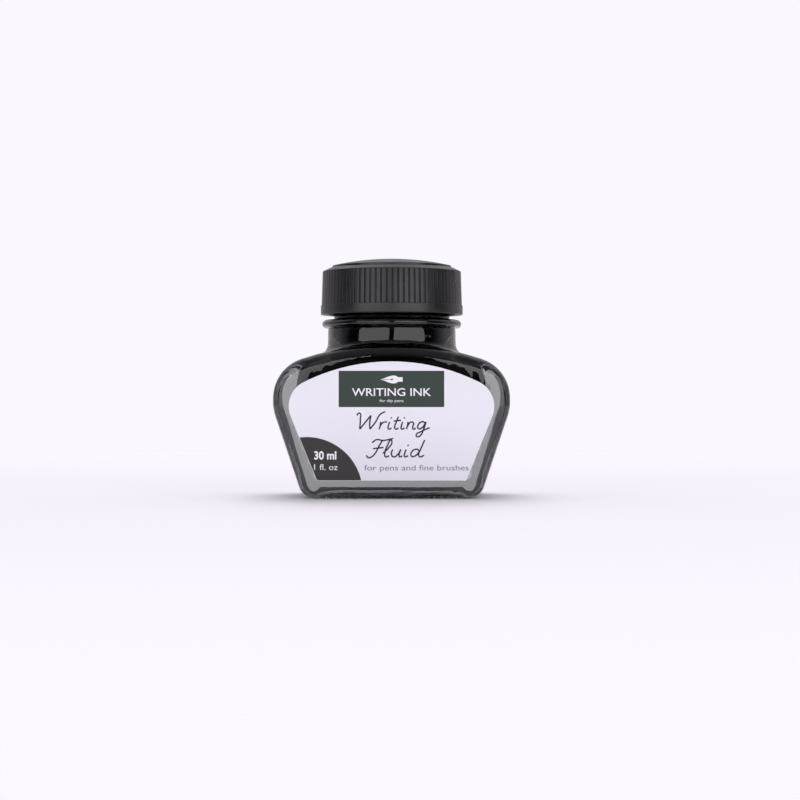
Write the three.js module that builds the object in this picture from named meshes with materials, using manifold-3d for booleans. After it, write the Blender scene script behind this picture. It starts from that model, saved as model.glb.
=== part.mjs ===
// A flask-shaped glass ink bottle with a ribbed screw cap, a sealing liner, two paper labels and ink.
// Millimetres, +Z up, origin at the centre of the base; the front label faces -Y.

import * as THREE from 'three';
import { mergeVertices } from 'three/addons/utils/BufferGeometryUtils.js';
import Module from 'manifold-3d';

const wasm = await Module();
wasm.setup();

// Glass body: a flask outline in the front view, extruded through the depth.
const BODY_WIDTH = 55.9;
const FACE_BEYOND_CAP = 0.8;
const BASE_WIDTH = 42;
const SHOULDER_HEIGHT = 36.4;
const ARCH_RADIUS = 67;
const CORNER_RADIUS = 9.7;
const SIDE_LAND = 1.2;
const LOWER_RADIUS = 9.5;
const FOOT_RADIUS = 3.2;
const EDGE_RADIUS = 3;
const SIDE_WALL = 5.8;
const FACE_WALL = 3.6;
const SHOULDER_WALL = 2.4;
const FLOOR_THICKNESS = 5.6;
const CAVITY_EDGE_RADIUS = 3.5;
const CAVITY_FOOT_RADIUS = 4.5;
const BEARING_WIDTH = 3.6;
const PUSH_UP = 0.7;
const PUSH_UP_CORNER = 3;

// Neck and threaded finish, turned about the vertical axis.
const NECK_STAND = 1.5;
const NECK_HEIGHT = 4.2;
const NECK_FLARE = 2.2;
const NECK_ROOT_DEPTH = 8;
const BEAD_STAND = 1.35;
const BEAD_HEIGHT = 1.95;
const FINISH_RADIUS = 14;
const FINISH_HEIGHT = 9.35;
const RIM_ROUND = 1;
const FINISH_WALL = 4.2;
const THREAD_PITCH = 4.233;
const THREAD_TURNS = 1.2;
const THREAD_SECTION_RADIUS = 0.75;
const THREAD_CREST = 1.1;
const THREAD_START = 2.65;
const THREAD_RUN_OUT = 0.09;

// Screw cap.
const BEAD_TO_CAP = 1.25;
const SKIRT_WALL = 1.6;
const SKIRT_DRAFT = 0.25;
const COLLAR_STAND = 0.2;
const COLLAR_HEIGHT = 2.3;
const CEILING_BELOW_CHAMFER = 0.6;
const CHAMFER_WIDTH = 2.05;
const CHAMFER_HEIGHT = 0.9;
const CROWN_STEP = 0.3;
const CROWN_EDGE = 0.4;
const CROWN_DOME = 1.75;
const RIB_COUNT = 80;
const GROOVE_SHARE = 0.34;
const GROOVE_DEPTH = 0.35;
const GROOVE_FLOOR_SHARE = 0.6;
const CAP_THREAD_START = 1.1;
const CAP_THREAD_CREST = 1.05;
const CROWN_RECESS_MARGIN = 3.4;
const CROWN_RECESS_DEPTH = 1.2;

// Liner, labels and ink.
const LINER_THICKNESS = 1.2;
const LABEL_THICKNESS = 0.15;
const LABEL_GLUE = 0.05;
const LABEL_SIDE_MARGIN = 0.9;
const LABEL_TOP_MARGIN = 1.17;
const LABEL_BOTTOM_MARGIN = 1.34;
const LABEL_FOOT_MARGIN = 1.8;
const LABEL_ARCH_RADIUS = 46;
const LABEL_CORNER_RADIUS = 6.3;
const LABEL_FOOT_RADIUS = 0.5;
const INK_ABOVE_BEAD = 1.5;

// Clearances.
const SEAT_GAP = 0.3;
const THREAD_RADIAL_GAP = 0.3;
const THREAD_FLANK_GAP = 0.3;

// Facets.
const TURN_SEGMENTS = 80;
const OUTLINE_STEP = THREE.MathUtils.degToRad(9);
const PROFILE_STEP = THREE.MathUtils.degToRad(30);
const DOME_STEP = THREE.MathUtils.degToRad(3.5);
const EDGE_SEGMENTS = 3;
const THREAD_SECTION_SIDES = 10;
const THREAD_STEPS_PER_TURN = 40;

// Heights that follow from the sizes above.
const beadBottom = SHOULDER_HEIGHT + NECK_HEIGHT;
const beadTop = beadBottom + BEAD_HEIGHT;
const rimHeight = beadTop + FINISH_HEIGHT;
const capFoot = beadTop + BEAD_TO_CAP;
const linerFoot = rimHeight + SEAT_GAP;
const capCeiling = linerFoot + LINER_THICKNESS + SEAT_GAP;
const skirtTop = capCeiling - capFoot + CEILING_BELOW_CHAMFER;
const inkTop = beadTop + INK_ABOVE_BEAD;

// Radii that follow from the sizes above.
const neckRadius = FINISH_RADIUS + NECK_STAND;
const boreRadius = FINISH_RADIUS - FINISH_WALL;
const threadPathRadius = FINISH_RADIUS + THREAD_CREST - THREAD_SECTION_RADIUS;
const capBoreRadius = FINISH_RADIUS + THREAD_CREST + THREAD_RADIAL_GAP;
const skirtFootRadius = capBoreRadius + SKIRT_WALL;
const skirtTopRadius = skirtFootRadius - SKIRT_DRAFT;
const collarRadius = skirtFootRadius + COLLAR_STAND;
const bodyDepth = 2 * (collarRadius + FACE_BEYOND_CAP);
const capThreadPathRadius = capBoreRadius - CAP_THREAD_CREST + THREAD_SECTION_RADIUS;
const threadCentreGap = 2 * THREAD_SECTION_RADIUS + THREAD_FLANK_GAP;
const threadDrop = Math.sqrt(threadCentreGap ** 2 - (capThreadPathRadius - threadPathRadius) ** 2);

/** Joins a geometry's shared vertices and returns it as a manifold solid. */
function toSolid(geometry) {
  geometry.deleteAttribute('normal');
  geometry.deleteAttribute('uv');
  const merged = mergeVertices(geometry, 1e-4);
  const vertProperties = new Float32Array(merged.attributes.position.array);
  const triVerts = new Uint32Array(merged.index.array);
  return new wasm.Manifold(new wasm.Mesh({ numProp: 3, vertProperties, triVerts }));
}

/** Turns a manifold solid back into a three.js geometry. */
function toGeometry(solid) {
  const mesh = solid.getMesh();
  const geometry = new THREE.BufferGeometry();
  geometry.setAttribute('position', new THREE.BufferAttribute(mesh.vertProperties, 3));
  geometry.setIndex(new THREE.BufferAttribute(mesh.triVerts, 1));
  const faceted = geometry.toNonIndexed();
  faceted.computeVertexNormals();
  return faceted;
}

/** Points along an arc, both ends included, with angular steps of the given size or less. */
function arcPoints(centreX, centreY, radius, fromAngle, toAngle, step = OUTLINE_STEP) {
  const steps = Math.max(1, Math.ceil(Math.abs(toAngle - fromAngle) / step - 1e-6));
  const points = [];
  for (let i = 0; i <= steps; i += 1) {
    const angle = fromAngle + ((toAngle - fromAngle) * i) / steps;
    const x = centreX + radius * Math.cos(angle);
    const y = centreY + radius * Math.sin(angle);
    points.push(new THREE.Vector2(x, y));
  }
  return points;
}

/** The taper of a side that leaves (baseHalf, floor) and meets a circle of the given radius. */
function sideTaper(baseHalf, floor, centreX, centreY, radius) {
  const dx = centreX - baseHalf;
  const dy = centreY - floor;
  return Math.atan2(dx, dy) + Math.asin(radius / Math.hypot(dx, dy));
}

/**
 * Sizes of a flask outline: an arched top, rounded upper corners, a short vertical land at the widest
 * level, sides that taper in towards the floor, and rounded feet. The base half-width is that of the
 * sides carried down to the floor.
 */
function flaskSizes({ halfWidth, baseHalf, floor, apex, arch, corner, land, lower, foot }) {
  const cornerX = halfWidth - corner;
  const archY = apex - arch;
  const cornerY = archY + Math.sqrt((arch - corner) ** 2 - cornerX ** 2);
  const lowerX = halfWidth - lower;
  const lowerY = cornerY - land;
  const taper = sideTaper(baseHalf, floor, lowerX, lowerY, lower);
  const footX = baseHalf + foot * Math.tan(taper) - foot / Math.cos(taper);
  const footY = floor + foot;
  return { corner, cornerX, cornerY, arch, archY, lower, lowerX, lowerY, taper, foot, footX, footY };
}

/** The closed flask outline with those sizes, as a shape in the front view. */
function flaskShape(s) {
  const shoulder = Math.atan2(s.cornerY - s.archY, s.cornerX);
  const right = [
    ...arcPoints(s.footX, s.footY, s.foot, -Math.PI / 2, -s.taper),
    ...arcPoints(s.lowerX, s.lowerY, s.lower, -s.taper, 0),
    ...arcPoints(s.cornerX, s.cornerY, s.corner, 0, shoulder),
    ...arcPoints(0, s.archY, s.arch, shoulder, Math.PI / 2).slice(1),
  ];
  const left = right.slice(0, -1).reverse();
  return new THREE.Shape([...right, ...left.map((p) => new THREE.Vector2(-p.x, p.y))]);
}

/** A front-view shape extruded through a depth centred on the Y axis, with rounded front and back edges. */
function roundedPrism(shape, depth, edgeRadius) {
  const geometry = new THREE.ExtrudeGeometry(shape, {
    depth: depth - 2 * edgeRadius,
    bevelThickness: edgeRadius,
    bevelSize: edgeRadius,
    bevelOffset: -edgeRadius,
    bevelSegments: EDGE_SEGMENTS,
  });
  geometry.translate(0, 0, edgeRadius - depth / 2);
  geometry.rotateX(Math.PI / 2);
  return toSolid(geometry);
}

/** A solid turned about the Z axis from radius-height pairs that start and end on the axis. */
function turned(profile) {
  const points = profile.map(([radius, height]) => new THREE.Vector2(radius, height));
  const geometry = new THREE.LatheGeometry(points, TURN_SEGMENTS);
  geometry.rotateX(Math.PI / 2);
  return toSolid(geometry);
}

/** A plain round solid between two heights. */
function disc(radius, bottom, top) {
  return turned([[0, bottom], [radius, bottom], [radius, top], [0, top]]);
}

/** Radius-height pairs along an arc, for a turned profile. */
function profileArc(radius, height, arcRadius, fromDegrees, toDegrees, step = PROFILE_STEP) {
  const from = THREE.MathUtils.degToRad(fromDegrees);
  const to = THREE.MathUtils.degToRad(toDegrees);
  return arcPoints(radius, height, arcRadius, from, to, step).map((p) => [p.x, p.y]);
}

/** A right-hand helix whose two ends sink from the path radius to a buried radius. */
class ThreadPath extends THREE.Curve {
  constructor({ radius, buriedRadius, startHeight, startAngle, turns }) {
    super();
    Object.assign(this, { radius, buriedRadius, startHeight, startAngle, turns });
  }

  getPoint(t, target = new THREE.Vector3()) {
    const runOut = Math.min(1, t / THREAD_RUN_OUT, (1 - t) / THREAD_RUN_OUT);
    const radius = THREE.MathUtils.lerp(this.buriedRadius, this.radius, runOut);
    const angle = this.startAngle + 2 * Math.PI * this.turns * t;
    const height = this.startHeight + THREAD_PITCH * this.turns * t;
    return target.set(radius * Math.cos(angle), radius * Math.sin(angle), height);
  }
}

/** A rounded thread bead along a helix. */
function threadBead(path) {
  const section = new THREE.Shape();
  section.absarc(0, 0, THREAD_SECTION_RADIUS, 0, 2 * Math.PI, false);
  const geometry = new THREE.ExtrudeGeometry(section, {
    extrudePath: path,
    steps: Math.ceil(path.turns * THREAD_STEPS_PER_TURN),
    curveSegments: THREAD_SECTION_SIDES,
  });
  return toSolid(geometry);
}

const bodySizes = flaskSizes({
  halfWidth: BODY_WIDTH / 2,
  baseHalf: BASE_WIDTH / 2,
  floor: 0,
  apex: SHOULDER_HEIGHT,
  arch: ARCH_RADIUS,
  corner: CORNER_RADIUS,
  land: SIDE_LAND,
  lower: LOWER_RADIUS,
  foot: FOOT_RADIUS,
});

/** Half-width of the straight tapered side, moved in by an inset, at a height. */
function sideHalfWidth(height, inset) {
  return BASE_WIDTH / 2 + height * Math.tan(bodySizes.taper) - inset / Math.cos(bodySizes.taper);
}

/** Sizes of the inside of the glass body, or of the ink in it when a gap is given. */
function cavitySizes(gap) {
  const side = SIDE_WALL + gap;
  const top = SHOULDER_WALL + gap;
  const floor = FLOOR_THICKNESS + gap;
  return flaskSizes({
    halfWidth: BODY_WIDTH / 2 - side,
    baseHalf: sideHalfWidth(floor, side),
    floor,
    apex: SHOULDER_HEIGHT - top,
    arch: ARCH_RADIUS - top,
    corner: CORNER_RADIUS - side,
    land: SIDE_LAND,
    lower: LOWER_RADIUS - side,
    foot: CAVITY_FOOT_RADIUS - gap,
  });
}

/** The space inside the glass body below the neck, less a gap all round. */
function cavity(gap) {
  const depth = bodyDepth - 2 * (FACE_WALL + gap);
  return roundedPrism(flaskShape(cavitySizes(gap)), depth, CAVITY_EDGE_RADIUS - gap);
}

/** Neck, bead and finish as one turned solid that reaches down into the shoulder. */
function neckAndFinish() {
  const flareTop = SHOULDER_HEIGHT;
  const flareRadius = neckRadius + NECK_FLARE;
  const beadRound = BEAD_HEIGHT / 2;
  const beadCentre = neckRadius + BEAD_STAND - beadRound;
  const root = SHOULDER_HEIGHT - NECK_ROOT_DEPTH;
  return turned([
    [0, root],
    [flareRadius, root],
    ...profileArc(flareRadius, flareTop, NECK_FLARE, 270, 180),
    [neckRadius, beadBottom],
    ...profileArc(beadCentre, beadBottom + beadRound, beadRound, -90, 90),
    [FINISH_RADIUS, beadTop],
    ...profileArc(FINISH_RADIUS - RIM_ROUND, rimHeight - RIM_ROUND, RIM_ROUND, 0, 90),
    [0, rimHeight],
  ]);
}

/** The bore through the neck, with a rounded mouth. */
function neckBore() {
  const mouth = boreRadius + RIM_ROUND;
  return turned([
    [0, SHOULDER_HEIGHT - SHOULDER_WALL - boreRadius],
    [boreRadius, SHOULDER_HEIGHT - SHOULDER_WALL - boreRadius],
    ...profileArc(mouth, rimHeight - RIM_ROUND, RIM_ROUND, 180, 90),
    [mouth, rimHeight + RIM_ROUND],
    [0, rimHeight + RIM_ROUND],
  ]);
}

/** The shallow hollow under the base that leaves a flat bearing ring round it. */
function pushUp() {
  const halfX = bodySizes.footX - BEARING_WIDTH;
  const halfY = bodyDepth / 2 - EDGE_RADIUS - BEARING_WIDTH;
  const innerX = halfX - PUSH_UP_CORNER;
  const innerY = halfY - PUSH_UP_CORNER;
  const shape = new THREE.Shape([
    ...arcPoints(innerX, innerY, PUSH_UP_CORNER, 0, Math.PI / 2),
    ...arcPoints(-innerX, innerY, PUSH_UP_CORNER, Math.PI / 2, Math.PI),
    ...arcPoints(-innerX, -innerY, PUSH_UP_CORNER, Math.PI, 1.5 * Math.PI),
    ...arcPoints(innerX, -innerY, PUSH_UP_CORNER, 1.5 * Math.PI, 2 * Math.PI),
  ]);
  const geometry = new THREE.ExtrudeGeometry(shape, { depth: 2 * PUSH_UP, bevelEnabled: false });
  geometry.translate(0, 0, -PUSH_UP);
  return toSolid(geometry);
}

function glassBottle() {
  const thread = threadBead(
    new ThreadPath({
      radius: threadPathRadius,
      buriedRadius: FINISH_RADIUS - THREAD_SECTION_RADIUS,
      startHeight: beadTop + THREAD_START,
      startAngle: 0,
      turns: THREAD_TURNS,
    }),
  );
  const outside = roundedPrism(flaskShape(bodySizes), bodyDepth, EDGE_RADIUS)
    .add(neckAndFinish())
    .add(thread);
  return toGeometry(outside.subtract(cavity(0)).subtract(neckBore()).subtract(pushUp()));
}

/** A point of the plan view at a radius and an angle. */
function polar(radius, angle) {
  return new THREE.Vector2(radius * Math.cos(angle), radius * Math.sin(angle));
}

/** The ribbed band of the skirt: wide flat lands with narrow grooves between them. */
function ribbedPrism(bottom, top) {
  const pitch = (2 * Math.PI) / RIB_COUNT;
  const landHalf = (pitch * (1 - GROOVE_SHARE)) / 2;
  const floorHalf = (pitch * GROOVE_SHARE * GROOVE_FLOOR_SHARE) / 2;
  const outer = skirtFootRadius;
  const inner = skirtFootRadius - GROOVE_DEPTH;
  const points = [];
  for (let i = 0; i < RIB_COUNT; i += 1) {
    const land = i * pitch;
    const groove = land + pitch / 2;
    points.push(polar(outer, land - landHalf), polar(outer, land + landHalf));
    points.push(polar(inner, groove - floorHalf), polar(inner, groove + floorHalf));
  }
  const shape = new THREE.Shape(points);
  const geometry = new THREE.ExtrudeGeometry(shape, { depth: top - bottom, bevelEnabled: false });
  geometry.translate(0, 0, bottom);
  return toSolid(geometry);
}

/** The cap's outside without its ribs, from the skirt's foot to the crown's dome, as a turned solid. */
function capOutside() {
  const chamferTop = skirtTop + CHAMFER_HEIGHT;
  const crownRadius = skirtTopRadius - CHAMFER_WIDTH;
  const domeFoot = chamferTop + CROWN_EDGE;
  const discRadius = crownRadius - CROWN_STEP;
  const domeRadius = (discRadius ** 2 + CROWN_DOME ** 2) / (2 * CROWN_DOME);
  const domeCentre = domeFoot + CROWN_DOME - domeRadius;
  const domeHalfAngle = THREE.MathUtils.radToDeg(Math.asin(discRadius / domeRadius));
  return turned([
    [0, 0],
    [skirtFootRadius, 0],
    [skirtFootRadius, COLLAR_HEIGHT],
    [skirtTopRadius, skirtTop],
    [crownRadius, chamferTop],
    [discRadius, chamferTop],
    ...profileArc(0, domeCentre, domeRadius, 90 - domeHalfAngle, 90, DOME_STEP).slice(0, -1),
    [0, domeFoot + CROWN_DOME],
  ]);
}

/** The cap in its own frame, with its foot at height 0. */
function screwCap() {
  const ceiling = capCeiling - capFoot;
  const top = skirtTop + CHAMFER_HEIGHT + CROWN_EDGE + CROWN_DOME;
  const bore = disc(capBoreRadius, -SEAT_GAP, ceiling);
  const recessRadius = capBoreRadius - CROWN_RECESS_MARGIN;
  const recess = disc(recessRadius, ceiling - SEAT_GAP, ceiling + CROWN_RECESS_DEPTH);
  const collar = disc(collarRadius, 0, COLLAR_HEIGHT);
  const startHeight = CAP_THREAD_START;
  const bottleThreadStart = beadTop + THREAD_START - capFoot;
  const phase = (startHeight + threadDrop - bottleThreadStart) / THREAD_PITCH;
  const thread = threadBead(
    new ThreadPath({
      radius: capThreadPathRadius,
      buriedRadius: capBoreRadius + THREAD_SECTION_RADIUS,
      startHeight,
      startAngle: 2 * Math.PI * phase,
      turns: THREAD_TURNS,
    }),
  );
  const threadBand = disc(capBoreRadius + SEAT_GAP, 0, ceiling);
  const shell = capOutside().intersect(ribbedPrism(0, top)).add(collar).subtract(bore).subtract(recess);
  return toGeometry(shell.add(thread.intersect(threadBand)));
}

/** The sealing disc that sits under the cap's ceiling, with its underside at height 0. */
function capLiner() {
  return toGeometry(disc(capBoreRadius - SEAT_GAP, 0, LINER_THICKNESS));
}

/** A paper label, drawn flat with its back at depth 0, that keeps inside the flat of the glass face. */
function paperLabel() {
  const floor = EDGE_RADIUS + LABEL_BOTTOM_MARGIN;
  const shape = flaskShape(
    flaskSizes({
      halfWidth: BODY_WIDTH / 2 - EDGE_RADIUS - LABEL_SIDE_MARGIN,
      baseHalf: sideHalfWidth(floor, EDGE_RADIUS) - LABEL_FOOT_MARGIN,
      floor,
      apex: SHOULDER_HEIGHT - EDGE_RADIUS - LABEL_TOP_MARGIN,
      arch: LABEL_ARCH_RADIUS,
      corner: LABEL_CORNER_RADIUS,
      land: 0,
      lower: LABEL_CORNER_RADIUS,
      foot: LABEL_FOOT_RADIUS,
    }),
  );
  const extruded = new THREE.ExtrudeGeometry(shape, { depth: LABEL_THICKNESS, bevelEnabled: false });
  return toGeometry(toSolid(extruded));
}

/** The ink, clear of the glass all round, filled to just above the bead. */
function ink() {
  const root = SHOULDER_HEIGHT - SHOULDER_WALL - boreRadius;
  return toGeometry(cavity(SEAT_GAP).add(disc(boreRadius - SEAT_GAP, root, inkTop)));
}

/** A named mesh with its own material. */
function piece(name, geometry, color, roughness, opacity = 1) {
  const material = new THREE.MeshStandardMaterial({ color, roughness, metalness: 0 });
  material.opacity = opacity;
  material.transparent = opacity < 1;
  const mesh = new THREE.Mesh(geometry, material);
  mesh.name = name;
  return mesh;
}

/** A label stood upright against the glass face that looks along -Y. */
function uprightLabel(name) {
  const label = piece(name, paperLabel(), 0xe8e6f0, 0.6);
  label.rotation.x = Math.PI / 2;
  label.position.y = -(bodyDepth / 2 + LABEL_GLUE);
  return label;
}

const cap = piece('screw_cap', screwCap(), 0x1e1c21, 0.35);
cap.position.z = capFoot;

const liner = piece('cap_liner', capLiner(), 0xd8d6cc, 0.7);
liner.position.z = linerFoot;

const backSide = new THREE.Group();
backSide.rotation.z = Math.PI;
backSide.add(uprightLabel('back_label'));

const inkBottle = new THREE.Group();
inkBottle.add(piece('glass_bottle', glassBottle(), 0xc8ccd0, 0.05, 0.35));
inkBottle.add(piece('ink', ink(), 0x050507, 0.1));
inkBottle.add(uprightLabel('front_label'), backSide, liner, cap);

export default inkBottle;
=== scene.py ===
"""A squat, flask-shaped glass ink bottle with a ribbed black screw cap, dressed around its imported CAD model.

Every size is in millimetres in the classes below and becomes metres where a mesh is made. Heights and
widths that have to fit the CAD model are read from its boxes; the small ones are fields of each class.
"""

import logging
import math
from collections.abc import Callable, Iterable, Sequence
from dataclasses import dataclass, field
from enum import Enum
from typing import ClassVar

import bmesh
import bpy
from mathutils import Matrix, Vector


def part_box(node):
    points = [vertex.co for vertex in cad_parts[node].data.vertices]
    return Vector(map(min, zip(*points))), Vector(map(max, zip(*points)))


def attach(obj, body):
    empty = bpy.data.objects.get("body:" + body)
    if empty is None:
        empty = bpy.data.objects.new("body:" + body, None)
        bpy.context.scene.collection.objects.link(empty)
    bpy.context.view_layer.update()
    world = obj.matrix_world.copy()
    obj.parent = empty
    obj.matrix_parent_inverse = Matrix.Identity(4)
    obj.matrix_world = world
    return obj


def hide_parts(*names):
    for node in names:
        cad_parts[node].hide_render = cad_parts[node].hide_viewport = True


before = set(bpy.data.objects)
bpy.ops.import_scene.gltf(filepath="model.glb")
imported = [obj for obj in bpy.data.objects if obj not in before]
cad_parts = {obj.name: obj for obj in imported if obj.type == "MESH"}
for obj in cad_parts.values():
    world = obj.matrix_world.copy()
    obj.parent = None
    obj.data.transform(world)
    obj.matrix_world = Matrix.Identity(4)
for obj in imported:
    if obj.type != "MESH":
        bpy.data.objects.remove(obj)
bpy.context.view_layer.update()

MM = 0.001
FULL_TURN = 2 * math.pi
GLUE_OVERLAP = 0.05
WELD_DISTANCE = 0.0004

# The Mix node has several sockets of one name, so its colour sockets are called by number.
MIX_FIRST = 6
MIX_SECOND = 7
MIX_RESULT = 2

log = logging.getLogger("ink_bottle")

Profile = list[tuple[float, float]]


class Body(Enum):
    """The CAD bodies that pieces ride on."""

    BOTTLE = "bottle"
    LINER = "liner"
    CAP = "cap"


class Side(Enum):
    """The face of the bottle that a label is stuck to."""

    FRONT = 1
    BACK = -1


# ---------------------------------------------------------------------------------------------------
# Colours and nodes


def linear(hex_colour: str) -> tuple[float, float, float, float]:
    """Turns an sRGB hex colour, six digits after a hash, into linear red, green, blue and a full alpha."""
    channels = [int(hex_colour[i : i + 2], 16) / 255 for i in (1, 3, 5)]
    red, green, blue = (c / 12.92 if c <= 0.04045 else ((c + 0.055) / 1.055) ** 2.4 for c in channels)
    return red, green, blue, 1.0


def add_node(
    tree: bpy.types.NodeTree,
    kind: str,
    settings: dict[str | int, object] | None = None,
    links: dict[str, bpy.types.NodeSocket] | None = None,
) -> bpy.types.Node:
    """Adds a node with its settings and links.

    Args:
        tree: The node tree that takes the node.
        kind: The node's type name, such as ShaderNodeBump.
        settings: Values by input name or number, or by property name where no input has that name.
        links: Output sockets by the name of the input that they feed.

    Returns:
        The new node.
    """
    node = tree.nodes.new(kind)
    for name, value in (settings or {}).items():
        if isinstance(name, int) or name in node.inputs:
            node.inputs[name].default_value = value
        else:
            setattr(node, name, value)
    for name, socket in (links or {}).items():
        tree.links.new(socket, node.inputs[name])
    return node


def new_material(name: str) -> tuple[bpy.types.Material, bpy.types.NodeTree, bpy.types.Node]:
    """Makes an empty material with an output node.

    Args:
        name: The material's name.

    Returns:
        The material, its node tree and its output node.
    """
    material = bpy.data.materials.new(name)
    material.use_nodes = True
    tree = material.node_tree
    tree.nodes.clear()
    return material, tree, add_node(tree, "ShaderNodeOutputMaterial")


def per_metre(millimetres: float) -> float:
    """The noise scale whose grain is that size, for Object coordinates in metres."""
    return 1 / (millimetres * MM)


# ---------------------------------------------------------------------------------------------------
# Finishes


@dataclass(frozen=True)
class PressedGlass:
    """Soda-lime glass, pressed and blown in a mould: sharp gloss over slow ripples.

    Its colour is greyer than the real, clear glass, and stands in for the shade that thick walls take on
    from what lies behind them.
    """

    name: str = "soda_lime_glass_pressed"
    colour: str = "#b4b8b7"
    roughness: float = 0.0
    ior: float = 1.51
    ripple_size: float = 4.0
    ripple_height: float = 0.2

    def build(self) -> bpy.types.Material:
        """Makes the material: full transmission with faint ripples in its surface."""
        material, tree, output = new_material(self.name)
        place = add_node(tree, "ShaderNodeTexCoord")
        ripple = add_node(
            tree,
            "ShaderNodeTexNoise",
            {"Scale": per_metre(self.ripple_size), "Detail": 1.0, "Roughness": 0.4},
            {"Vector": place.outputs["Object"]},
        )
        bump = add_node(
            tree,
            "ShaderNodeBump",
            {"Strength": 0.35, "Distance": self.ripple_height * MM},
            {"Height": ripple.outputs["Fac"]},
        )
        glass = add_node(
            tree,
            "ShaderNodeBsdfPrincipled",
            {
                "Base Color": linear(self.colour),
                "Roughness": self.roughness,
                "IOR": self.ior,
                "Transmission Weight": 1.0,
            },
            {"Normal": bump.outputs["Normal"]},
        )
        tree.links.new(glass.outputs["BSDF"], output.inputs["Surface"])
        return material


@dataclass(frozen=True)
class InkLiquid:
    """Black carbon ink: an even, bottomless black with a reflection that shows at grazing angles."""

    name: str
    colour: str = "#050507"
    deep_colour: str = "#020203"
    cloud_size: float = 9.0
    roughness: float = 0.04
    ior: float = 1.34

    def build(self) -> bpy.types.Material:
        """Makes the material, with a faint cloudiness in its black."""
        material, tree, output = new_material(self.name)
        place = add_node(tree, "ShaderNodeTexCoord")
        cloud = add_node(
            tree,
            "ShaderNodeTexNoise",
            {"Scale": per_metre(self.cloud_size), "Detail": 2.0},
            {"Vector": place.outputs["Object"]},
        )
        shade = add_node(
            tree,
            "ShaderNodeMix",
            {"data_type": "RGBA", MIX_FIRST: linear(self.deep_colour), MIX_SECOND: linear(self.colour)},
            {"Factor": cloud.outputs["Fac"]},
        )
        ink = add_node(
            tree,
            "ShaderNodeBsdfPrincipled",
            {"Roughness": self.roughness, "IOR": self.ior},
            {"Base Color": shade.outputs[MIX_RESULT]},
        )
        tree.links.new(ink.outputs["BSDF"], output.inputs["Surface"])
        return material


@dataclass(frozen=True)
class MouldedPolypropylene:
    """Black injection-moulded polypropylene: a satin skin with a fine spark-eroded grain and light scuffs."""

    name: str = "polypropylene_moulded_black"
    colour: str = "#121114"
    scuffed_colour: str = "#1a191d"
    roughness: float = 0.32
    gloss_change: tuple[float, float] = (-0.05, 0.07)
    handling_size: float = 4.0
    grain_size: float = 0.25
    grain_height: float = 0.012

    def build(self) -> bpy.types.Material:
        """Makes the material: black, with grain in its bump and slow changes in its gloss."""
        material, tree, output = new_material(self.name)
        place = add_node(tree, "ShaderNodeTexCoord")
        handling = add_node(
            tree,
            "ShaderNodeTexNoise",
            {"Scale": per_metre(self.handling_size), "Detail": 4.0, "Roughness": 0.6},
            {"Vector": place.outputs["Object"]},
        )
        least, most = (self.roughness + change for change in self.gloss_change)
        gloss = add_node(
            tree,
            "ShaderNodeMapRange",
            {"From Min": 0.3, "From Max": 0.7, "To Min": least, "To Max": most},
            {"Value": handling.outputs["Fac"]},
        )
        grain = add_node(
            tree,
            "ShaderNodeTexNoise",
            {"Scale": per_metre(self.grain_size), "Detail": 2.0},
            {"Vector": place.outputs["Object"]},
        )
        bump = add_node(
            tree,
            "ShaderNodeBump",
            {"Strength": 0.5, "Distance": self.grain_height * MM},
            {"Height": grain.outputs["Fac"]},
        )
        shade = add_node(
            tree,
            "ShaderNodeMix",
            {"data_type": "RGBA", MIX_FIRST: linear(self.colour), MIX_SECOND: linear(self.scuffed_colour)},
            {"Factor": handling.outputs["Fac"]},
        )
        plastic = add_node(
            tree,
            "ShaderNodeBsdfPrincipled",
            {"IOR": 1.49},
            {
                "Base Color": shade.outputs[MIX_RESULT],
                "Roughness": gloss.outputs["Result"],
                "Normal": bump.outputs["Normal"],
            },
        )
        tree.links.new(plastic.outputs["BSDF"], output.inputs["Surface"])
        return material


@dataclass(frozen=True)
class Sheet:
    """A matt sheet material with a cellular or fibrous grain, such as liner foam or coated label paper."""

    name: str
    colour: str
    second_colour: str
    roughness: float
    grain_size: float
    grain_height: float

    def build(self) -> bpy.types.Material:
        """Makes the material: two close colours mottled by the grain that also bumps it."""
        material, tree, output = new_material(self.name)
        place = add_node(tree, "ShaderNodeTexCoord")
        grain = add_node(
            tree,
            "ShaderNodeTexNoise",
            {"Scale": per_metre(self.grain_size), "Detail": 3.0, "Roughness": 0.6},
            {"Vector": place.outputs["Object"]},
        )
        shade = add_node(
            tree,
            "ShaderNodeMix",
            {"data_type": "RGBA", MIX_FIRST: linear(self.colour), MIX_SECOND: linear(self.second_colour)},
            {"Factor": grain.outputs["Fac"]},
        )
        bump = add_node(
            tree,
            "ShaderNodeBump",
            {"Strength": 0.4, "Distance": self.grain_height * MM},
            {"Height": grain.outputs["Fac"]},
        )
        surface = add_node(
            tree,
            "ShaderNodeBsdfPrincipled",
            {"Roughness": self.roughness, "IOR": 1.46},
            {"Base Color": shade.outputs[MIX_RESULT], "Normal": bump.outputs["Normal"]},
        )
        tree.links.new(surface.outputs["BSDF"], output.inputs["Surface"])
        return material


# Heavy glass with a sharp gloss, over ink that shows as plain black.
GLASS = PressedGlass()
WETTED_INK = InkLiquid("carbon_ink_against_glass")
FREE_INK = InkLiquid("carbon_ink_free_surface")
# A soft, broad highlight on black, a little patchy from handling.
CAP_PLASTIC = MouldedPolypropylene()
# Matt off-white foam with fine cells.
LINER_FOAM = Sheet("polyethylene_foam_pressed", "#e6e3da", "#dad6cb", 0.7, 0.3, 0.05)
# A cool white with the faint sheen of coated paper.
LABEL_PAPER = Sheet("coated_paper_white", "#eeedf6", "#ebe9f3", 0.5, 0.35, 0.008)
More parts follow.
